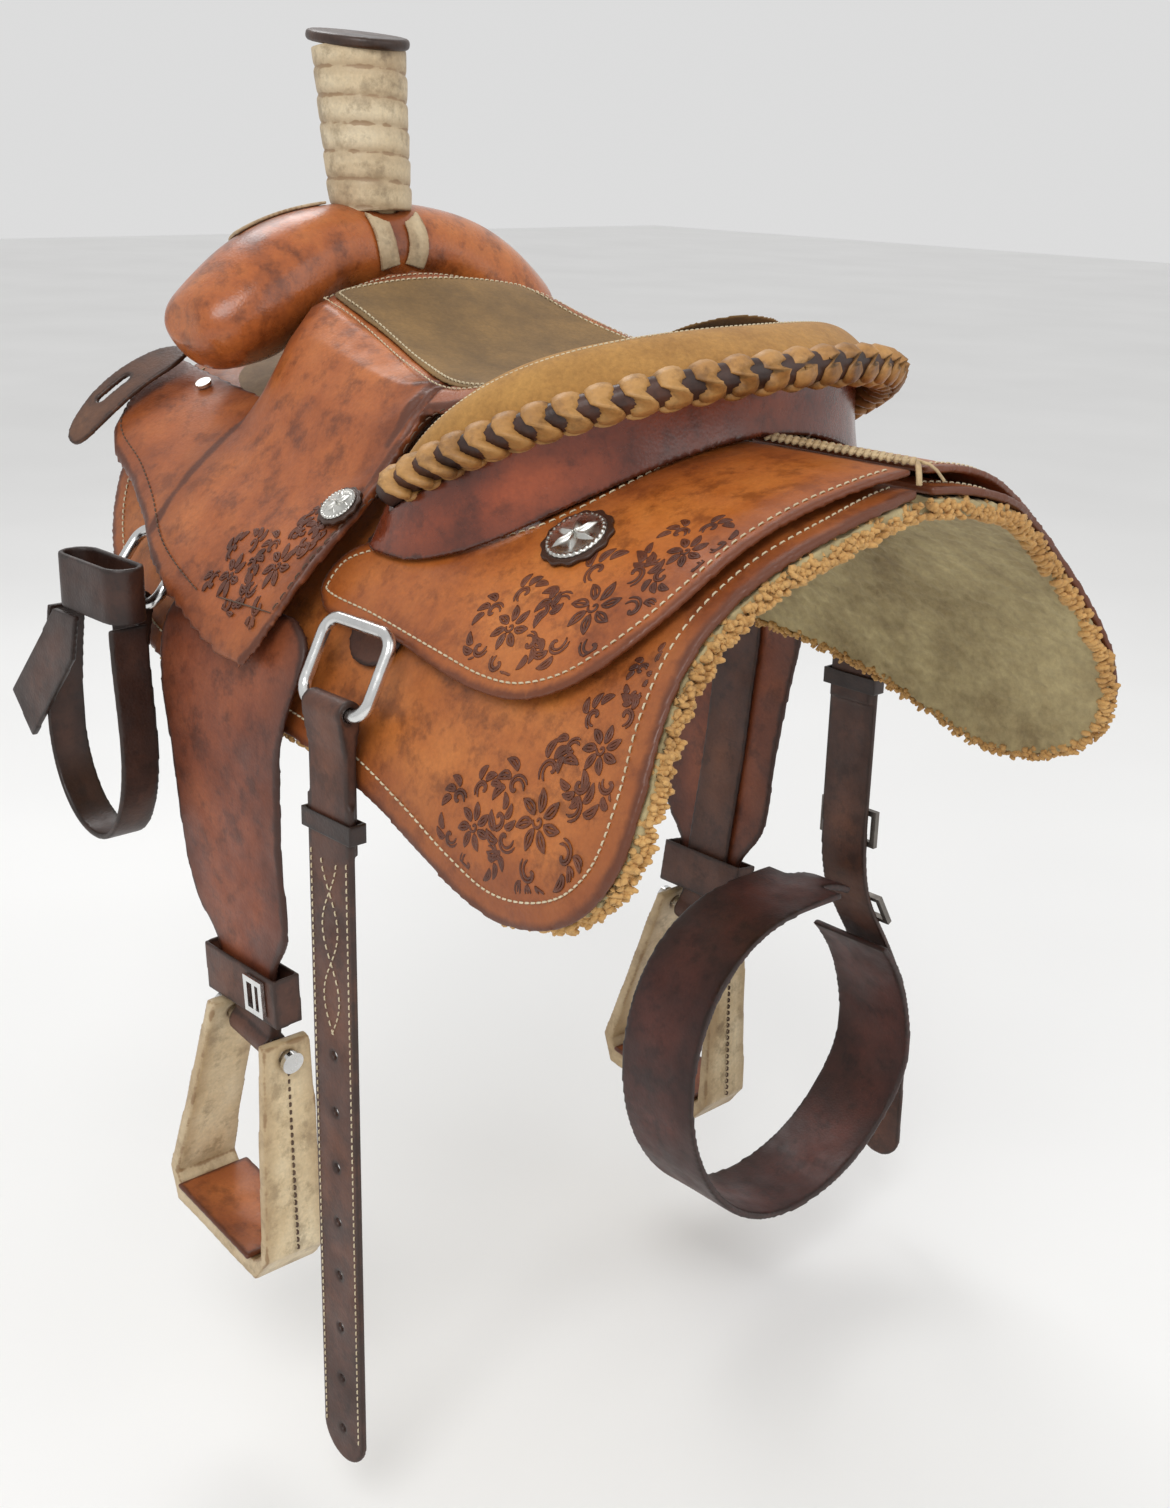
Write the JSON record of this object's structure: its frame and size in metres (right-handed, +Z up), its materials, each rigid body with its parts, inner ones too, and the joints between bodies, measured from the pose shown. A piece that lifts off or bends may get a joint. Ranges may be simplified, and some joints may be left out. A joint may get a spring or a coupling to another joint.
{
  "type": "western saddle",
  "caption": "Western riding saddle with horn, swelled fork, padded seat, leather skirts over fleece, fenders with stirrups, and flank straps hanging from round-wire dees.",
  "frame": {"origin": "on the midline, where the fleece lining rests on the crest of the saddle rack or the animal's back", "axes": "+X towards the horn (forward), +Y to the rider's left, +Z up"},
  "size_m": [0.7111, 0.6857, 1.0426],
  "materials": {
    "chestnut_leather": "glossy",
    "orange_leather": "satin",
    "roughout_leather": "matte",
    "suede": "matte",
    "hide_wrap": "satin",
    "rawhide": "satin",
    "dark_leather": "satin",
    "strap_leather": "satin",
    "fleece": "matte",
    "chrome": "polished",
    "silver": "polished",
    "tree_wood": "matte",
    "tree_core": "matte",
    "lace": "satin"
  },
  "bodies": {
    "saddle": {"back_jockey_left": "orange_leather", "back_jockey_right": "orange_leather", "cantle_back": "chestnut_leather", "cantle_board": "tree_wood", "cantle_lacing": "lace", "cantle_roll": "roughout_leather", "fleece_left": "fleece", "fleece_right": "fleece", "fork_cover": "chestnut_leather", "ground_seat": "tree_wood", "horn_cap": "dark_leather", "horn_core": "tree_core", "horn_wrap": "hide_wrap", "horn_wrap_tails": "hide_wrap", "jockey_lacing": "lace", "latigo_keeper": "strap_leather", "rear_conchos": "silver", "rear_rosettes": "strap_leather", "rigging_left": "strap_leather", "rigging_right": "strap_leather", "seat": "chestnut_leather", "seat_inlay": "suede", "seat_screws": "silver", "skirt_left": "orange_leather", "skirt_right": "orange_leather", "tip_conchos": "silver", "tip_rosettes": "strap_leather", "tree_bar_left": "tree_wood", "tree_bar_right": "tree_wood", "tree_fork": "tree_wood"},
    "fender_left": {"fender_left": "chestnut_leather", "stirrup_leather_left": "strap_leather", "hobble_strap_left": "strap_leather", "hobble_buckle_left": "chrome"},
    "fender_right": {"fender_right": "chestnut_leather", "stirrup_leather_right": "strap_leather", "hobble_strap_right": "strap_leather", "hobble_buckle_right": "chrome"},
    "stirrup_left": {"stirrup_left": "rawhide", "stirrup_tread_left": "chestnut_leather", "stirrup_bolt_left": "chrome"},
    "stirrup_right": {"stirrup_right": "rawhide", "stirrup_tread_right": "chestnut_leather", "stirrup_bolt_right": "chrome"},
    "rear_dee_left": {"rear_dee_left": "chrome"},
    "rear_dee_right": {"rear_dee_right": "chrome"},
    "front_dee_left": {"front_dee_left": "chrome"},
    "front_dee_right": {"front_dee_right": "chrome"},
    "flank_left": {"flank_billet_left": "strap_leather", "billet_keeper_left": "strap_leather"},
    "flank_right": {"flank_billet_right": "strap_leather", "billet_keeper_right": "strap_leather", "flank_cinch": "dark_leather", "cinch_buckles": "chrome"},
    "latigo_left": {"latigo": "dark_leather", "latigo_loop": "dark_leather", "latigo_knot": "dark_leather", "latigo_tail": "dark_leather"},
    "off_billet_right": {"off_billet": "dark_leather"}
  },
  "joints": [
    {"name": "fender_swing_left", "type": "hinge", "parent": "saddle", "child": "fender_left", "pos_m": [0, 0.25, -0.095], "axis": [0, -1, 0], "range_deg": [-4, 8]},
    {"name": "fender_swing_right", "type": "hinge", "parent": "saddle", "child": "fender_right", "pos_m": [0, -0.25, -0.095], "axis": [0, -1, 0], "range_deg": [-2, 8]},
    {"name": "stirrup_swing_left", "type": "hinge", "parent": "fender_left", "child": "stirrup_left", "pos_m": [0.001, 0.25881, -0.432], "axis": [0.9877, 0, 0.1564], "range_deg": [-10, 10]},
    {"name": "stirrup_swing_right", "type": "hinge", "parent": "fender_right", "child": "stirrup_right", "pos_m": [0.001, -0.23258, -0.477], "axis": [0.9877, 0, 0.1564], "range_deg": [-10, 10]},
    {"name": "rear_dee_swing_left", "type": "hinge", "parent": "saddle", "child": "rear_dee_left", "pos_m": [-0.13, 0.248, -0.084], "axis": [1, 0, 0], "range_deg": [0, 15]},
    {"name": "rear_dee_swing_right", "type": "hinge", "parent": "saddle", "child": "rear_dee_right", "pos_m": [-0.13, -0.248, -0.084], "axis": [-1, 0, 0], "range_deg": [0, 15]},
    {"name": "flank_billet_swing_left", "type": "hinge", "parent": "rear_dee_left", "child": "flank_left", "pos_m": [-0.13, 0.274, -0.136], "axis": [1, 0, 0], "range_deg": [0, 25]},
    {"name": "flank_cinch_swing_right", "type": "hinge", "parent": "rear_dee_right", "child": "flank_right", "pos_m": [-0.13, -0.274, -0.136], "axis": [-1, 0, 0], "range_deg": [0, 20]},
    {"name": "front_dee_swing_left", "type": "hinge", "parent": "saddle", "child": "front_dee_left", "pos_m": [0.148, 0.231, -0.074], "axis": [1, 0, 0], "range_deg": [0, 8]},
    {"name": "front_dee_swing_right", "type": "hinge", "parent": "saddle", "child": "front_dee_right", "pos_m": [0.148, -0.231, -0.074], "axis": [-1, 0, 0], "range_deg": [0, 8]},
    {"name": "latigo_swing", "type": "hinge", "parent": "front_dee_left", "child": "latigo_left", "pos_m": [0.148, 0.266, -0.118], "axis": [1, 0, 0], "range_deg": [0, 8]},
    {"name": "off_billet_swing", "type": "hinge", "parent": "front_dee_right", "child": "off_billet_right", "pos_m": [0.148, -0.266, -0.118], "axis": [-1, 0, 0], "range_deg": [0, 20]}
  ]
}
